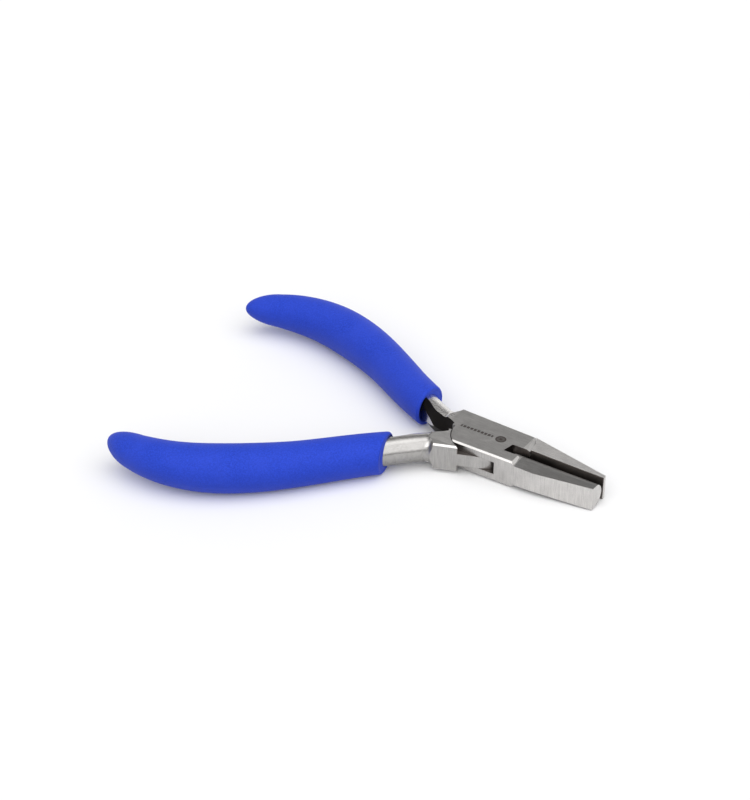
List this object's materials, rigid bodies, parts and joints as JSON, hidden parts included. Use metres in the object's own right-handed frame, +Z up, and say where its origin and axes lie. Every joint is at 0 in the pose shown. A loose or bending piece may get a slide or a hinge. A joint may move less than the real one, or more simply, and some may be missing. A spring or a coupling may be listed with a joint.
{
  "type": "half-round and flat nose pliers",
  "caption": "Jewellery pliers with a box joint, a half-round jaw against a flat jaw, and curved soft blue grips over steel tangs.",
  "frame": {"origin": "on the pivot's axis, in the lower flat face of the joint", "axes": "+X along the bisector of the two handles towards the jaws, +Y towards the handle of the box half, +Z up along the pivot"},
  "size_m": [0.1303, 0.0972, 0.0134],
  "materials": {
    "box_steel": "fine ground satin stainless steel",
    "tongue_steel": "fine ground satin stainless steel",
    "pin_steel": "ground flush with the joint",
    "blue_grip": "matt, finely pebbled moulded grip"
  },
  "bodies": {
    "box_side": {"box_half": "box_steel", "pivot_pin": "pin_steel", "box_half_grip": "blue_grip"},
    "tongue_side": {"tongue_half": "tongue_steel", "tongue_half_grip": "blue_grip"}
  },
  "joints": [
    {"name": "pivot", "type": "hinge", "parent": "box_side", "child": "tongue_side", "pos_m": [0, 0, 0.0041], "axis": [0, 0, 1], "range_deg": [-1.6, 32]}
  ]
}
